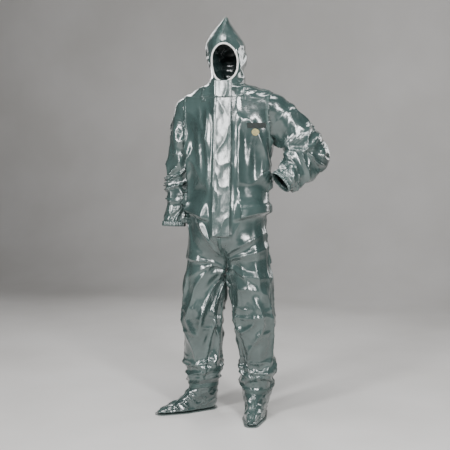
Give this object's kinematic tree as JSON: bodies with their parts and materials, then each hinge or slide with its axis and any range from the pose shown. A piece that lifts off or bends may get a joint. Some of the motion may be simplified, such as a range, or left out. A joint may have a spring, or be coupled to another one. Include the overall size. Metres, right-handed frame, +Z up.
{
  "type": "hooded chemical protective coverall with attached sock boots",
  "caption": "Glossy grey-green hooded coverall standing as worn, with zip under a storm flap, chin flap, elastic cuffs, taped seams and attached sock boots, left cuff at the hip",
  "frame": {"origin": "on the floor, under the centre of the suit's outline box", "axes": "+Z up, -Y the way the suit faces, +X the wearer's left"},
  "size_m": [0.817, 0.3696, 1.92],
  "materials": {
    "suit_fabric": "glossy coated film laminate, crinkled",
    "seam_tape": "glossy heat-sealed tape",
    "white_elastic": "matt woven elastic",
    "closure_strip": "satin release paper",
    "zip": "satin",
    "zip_metal": "satin",
    "sole": "satin, textured",
    "label_dark": "matt",
    "label_pale": "matt"
  },
  "bodies": {
    "torso_and_legs": {"front_left_panel": "suit_fabric", "front_right_panel": "suit_fabric", "back_left_panel": "suit_fabric", "back_right_panel": "suit_fabric", "throat_left_panel": "suit_fabric", "throat_right_panel": "suit_fabric", "left_boot_upper": "suit_fabric", "left_boot_sole": "sole", "left_boot_seam_tape": "seam_tape", "left_boot_toe_seam_tape": "seam_tape", "right_boot_upper": "suit_fabric", "right_boot_sole": "sole", "right_boot_seam_tape": "seam_tape", "right_boot_toe_seam_tape": "seam_tape", "left_side_seam_tape": "seam_tape", "right_side_seam_tape": "seam_tape", "left_inseam_tape": "seam_tape", "right_inseam_tape": "seam_tape", "left_shoulder_seam_tape": "seam_tape", "right_shoulder_seam_tape": "seam_tape", "left_armhole_seam_tape": "seam_tape", "right_armhole_seam_tape": "seam_tape", "back_seam_tape": "seam_tape", "crotch_seam_tape": "seam_tape", "neck_seam_tape": "seam_tape", "zip_tape_left": "zip", "zip_tape_right": "zip", "zip_teeth_left": "zip", "zip_teeth_right": "zip", "zip_bottom_stop": "zip_metal", "zip_top_stops": "zip_metal", "storm_flap_fold": "suit_fabric", "flap_landing_strip": "closure_strip", "chin_flap_fold": "suit_fabric", "chest_label": "label_dark", "chest_label_patch": "label_pale"},
    "hood": {"hood_left_panel": "suit_fabric", "hood_right_panel": "suit_fabric", "face_elastic": "white_elastic", "hood_crown_seam_tape": "seam_tape"},
    "chin_flap": {"chin_flap": "suit_fabric", "chin_flap_adhesive_strip": "closure_strip"},
    "storm_flap": {"storm_flap": "suit_fabric", "storm_flap_adhesive_strip": "closure_strip"},
    "left_sleeve": {"left_sleeve": "suit_fabric", "left_cuff_hem": "seam_tape"},
    "right_sleeve": {"right_sleeve": "suit_fabric", "right_cuff_hem": "seam_tape"},
    "zip_slider": {"zip_slider": "zip_metal"},
    "zip_pull": {"zip_pull_tab": "zip_metal"}
  },
  "joints": [
    {"name": "hood_back", "type": "hinge", "parent": "torso_and_legs", "child": "hood", "pos_m": [-0.0615, 0.1146, 1.59027], "axis": [-1, 0, 0], "range_deg": [0, 40]},
    {"name": "chin_flap_open", "type": "hinge", "parent": "torso_and_legs", "child": "chin_flap", "pos_m": [-0.0915, -0.11699, 1.52576], "axis": [0, -0.0506, -0.9987], "range_deg": [0, 150]},
    {"name": "storm_flap_open", "type": "hinge", "parent": "torso_and_legs", "child": "storm_flap", "pos_m": [-0.0915, -0.14939, 0.88618], "axis": [0, -0.0506, -0.9987], "range_deg": [0, 160]},
    {"name": "left_arm_swing", "type": "hinge", "parent": "torso_and_legs", "child": "left_sleeve", "pos_m": [0.1535, 0.0226, 1.4707], "axis": [-1, 0, 0], "range_deg": [-25, 60]},
    {"name": "right_arm_swing", "type": "hinge", "parent": "torso_and_legs", "child": "right_sleeve", "pos_m": [-0.2765, 0.0196, 1.4657], "axis": [-1, 0, 0], "range_deg": [-25, 90]},
    {"name": "zip_slide", "type": "slide", "parent": "torso_and_legs", "child": "zip_slider", "axis": [0, -0.0506, -0.9987], "range_m": [0, 0.5724]},
    {"name": "zip_pull_swing", "type": "hinge", "parent": "zip_slider", "child": "zip_pull", "pos_m": [-0.0615, -0.11749, 1.48824], "axis": [0, 0.9987, -0.0506], "range_deg": [-80, 80]}
  ]
}
